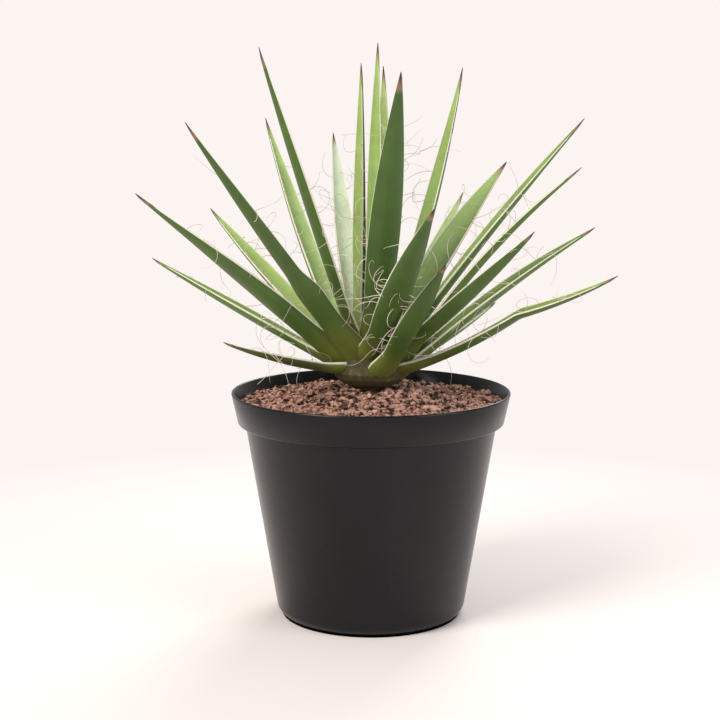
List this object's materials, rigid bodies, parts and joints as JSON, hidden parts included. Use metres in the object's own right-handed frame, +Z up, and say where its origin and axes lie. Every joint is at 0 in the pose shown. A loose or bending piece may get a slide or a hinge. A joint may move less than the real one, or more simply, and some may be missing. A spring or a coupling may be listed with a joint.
{
  "type": "potted agave plant",
  "caption": "Rosette of narrow thread-edged succulent leaves growing from a crown in a round tapered nursery pot filled with soil.",
  "frame": {"origin": "middle of the pot's underside, on its flat centre pad", "axes": "+Z up along the pot's axis and the tallest direction of the plant; -Y is the side the plant is seen from"},
  "size_m": [0.2743, 0.2812, 0.3468],
  "materials": {
    "pot_plastic": "moulded black polypropylene, satin, lightly scuffed",
    "potting_soil": "loose coir and peat crumbs, matte",
    "root_fibre": "dry fibrous root, matte",
    "crown_tissue": "olive brown leaf bases, dull",
    "leaf_skin": "waxy green leaf with pale thread-bearing margins, satin"
  },
  "bodies": {
    "root": {"pot": "pot_plastic", "soil": "potting_soil", "roots": "root_fibre", "crown": "crown_tissue", "outer_leaf_1": "leaf_skin", "outer_leaf_2": "leaf_skin", "outer_leaf_3": "leaf_skin", "outer_leaf_4": "leaf_skin", "outer_leaf_5": "leaf_skin", "outer_leaf_6": "leaf_skin", "outer_leaf_7": "leaf_skin", "outer_leaf_8": "leaf_skin", "outer_leaf_9": "leaf_skin", "outer_leaf_10": "leaf_skin", "outer_leaf_11": "leaf_skin", "outer_leaf_12": "leaf_skin", "outer_leaf_13": "leaf_skin", "middle_leaf_1": "leaf_skin", "middle_leaf_2": "leaf_skin", "middle_leaf_3": "leaf_skin", "middle_leaf_4": "leaf_skin", "middle_leaf_5": "leaf_skin", "middle_leaf_6": "leaf_skin", "middle_leaf_7": "leaf_skin", "inner_leaf_1": "leaf_skin", "inner_leaf_2": "leaf_skin", "inner_leaf_3": "leaf_skin", "inner_leaf_4": "leaf_skin", "inner_leaf_5": "leaf_skin", "heart_leaf": "leaf_skin"}
  },
  "joints": []
}
